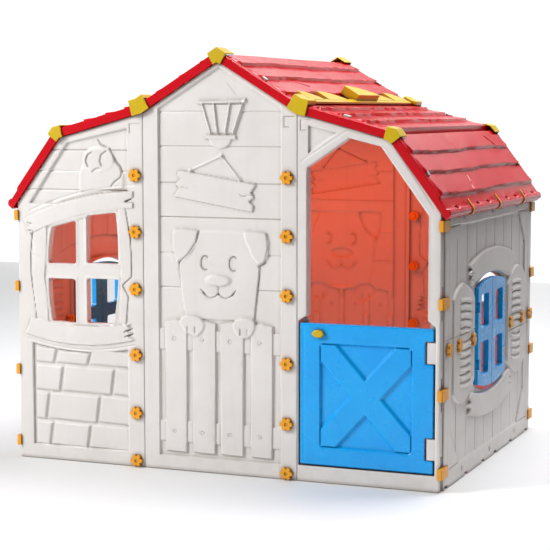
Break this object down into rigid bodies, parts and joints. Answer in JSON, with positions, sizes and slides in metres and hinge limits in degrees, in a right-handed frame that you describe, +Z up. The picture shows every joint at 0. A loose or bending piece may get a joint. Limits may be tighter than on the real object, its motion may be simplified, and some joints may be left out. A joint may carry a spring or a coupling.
{
  "type": "plastic playhouse",
  "caption": "Snap-together moulded playhouse with relief wall panels, a gambrel roof, a swinging half-door and casement side windows.",
  "frame": {"origin": "middle of the floor area, on the floor", "axes": "+Z up, the front with the half-door faces -Y, +X to the right seen from the front"},
  "size_m": [1.343, 1.027, 1.1905],
  "materials": {
    "white_plastic": "off-white moulded polyethylene, satin",
    "red_plastic": "red moulded polyethylene, semi-gloss",
    "blue_plastic": "bright blue moulded polyethylene, semi-gloss",
    "yellow_plastic": "yellow moulded polyethylene, semi-gloss",
    "orange_plastic": "orange-yellow moulded polyethylene, semi-gloss"
  },
  "bodies": {
    "house": {"front_window_wall": "white_plastic", "front_middle_wall": "white_plastic", "front_door_wall": "white_plastic", "rear_window_wall": "white_plastic", "rear_middle_wall": "white_plastic", "rear_mirrored_wall": "white_plastic", "right_wall_upper": "white_plastic", "right_wall_lower": "white_plastic", "left_wall_upper": "white_plastic", "left_wall_lower": "white_plastic", "roof_lower_right": "red_plastic", "roof_lower_left": "red_plastic", "roof_middle_right": "red_plastic", "roof_middle_left": "red_plastic", "roof_upper_right": "red_plastic", "roof_upper_left": "red_plastic", "valley_trim_right": "yellow_plastic", "valley_trim_left": "yellow_plastic", "ridge_cap_front": "yellow_plastic", "ridge_cap_rear": "yellow_plastic", "valley_cap_front_left": "yellow_plastic", "valley_cap_front_right": "yellow_plastic", "valley_cap_rear_left": "yellow_plastic", "valley_cap_rear_right": "yellow_plastic", "knee_cap_front_left": "yellow_plastic", "knee_cap_front_right": "yellow_plastic", "knee_cap_rear_left": "yellow_plastic", "knee_cap_rear_right": "yellow_plastic", "seam_snaps_front_left": "orange_plastic", "seam_snaps_front_right": "orange_plastic", "seam_snaps_rear_left": "orange_plastic", "seam_snaps_rear_right": "orange_plastic", "seam_nuts_front_left": "orange_plastic", "seam_nuts_front_right": "orange_plastic", "seam_nuts_rear_left": "orange_plastic", "seam_nuts_rear_right": "orange_plastic", "corner_clips_front_left": "orange_plastic", "corner_clips_front_right": "orange_plastic", "corner_clips_rear_left": "orange_plastic", "corner_clips_rear_right": "orange_plastic", "seam_snaps_side_right": "orange_plastic", "seam_snaps_side_left": "orange_plastic", "seam_nuts_side_right": "orange_plastic", "seam_nuts_side_left": "orange_plastic", "eave_clips_right": "orange_plastic", "eave_clips_left": "orange_plastic", "door_hinge_pins": "white_plastic", "right_window_pins": "blue_plastic", "left_window_pins": "blue_plastic"},
    "half_door": {"half_door": "blue_plastic", "door_knob": "yellow_plastic"},
    "right_front_leaf": {"right_window_leaf_front": "blue_plastic"},
    "right_rear_leaf": {"right_window_leaf_rear": "blue_plastic"},
    "left_front_leaf": {"left_window_leaf_front": "blue_plastic"},
    "left_rear_leaf": {"left_window_leaf_rear": "blue_plastic"}
  },
  "joints": [
    {"name": "half_door_hinge", "type": "hinge", "parent": "house", "child": "half_door", "pos_m": [0.613, -0.488, 0.2445], "axis": [0, 0, 1], "range_deg": [0, 100]},
    {"name": "right_front_leaf_hinge", "type": "hinge", "parent": "house", "child": "right_front_leaf", "pos_m": [0.641, -0.1495, 0.379], "axis": [0, 0, -1], "range_deg": [0, 100]},
    {"name": "right_rear_leaf_hinge", "type": "hinge", "parent": "house", "child": "right_rear_leaf", "pos_m": [0.641, 0.1495, 0.379], "axis": [0, 0, 1], "range_deg": [0, 100]},
    {"name": "left_front_leaf_hinge", "type": "hinge", "parent": "house", "child": "left_front_leaf", "pos_m": [-0.641, -0.1495, 0.379], "axis": [0, 0, 1], "range_deg": [0, 100]},
    {"name": "left_rear_leaf_hinge", "type": "hinge", "parent": "house", "child": "left_rear_leaf", "pos_m": [-0.641, 0.1495, 0.379], "axis": [0, 0, -1], "range_deg": [0, 100]}
  ]
}
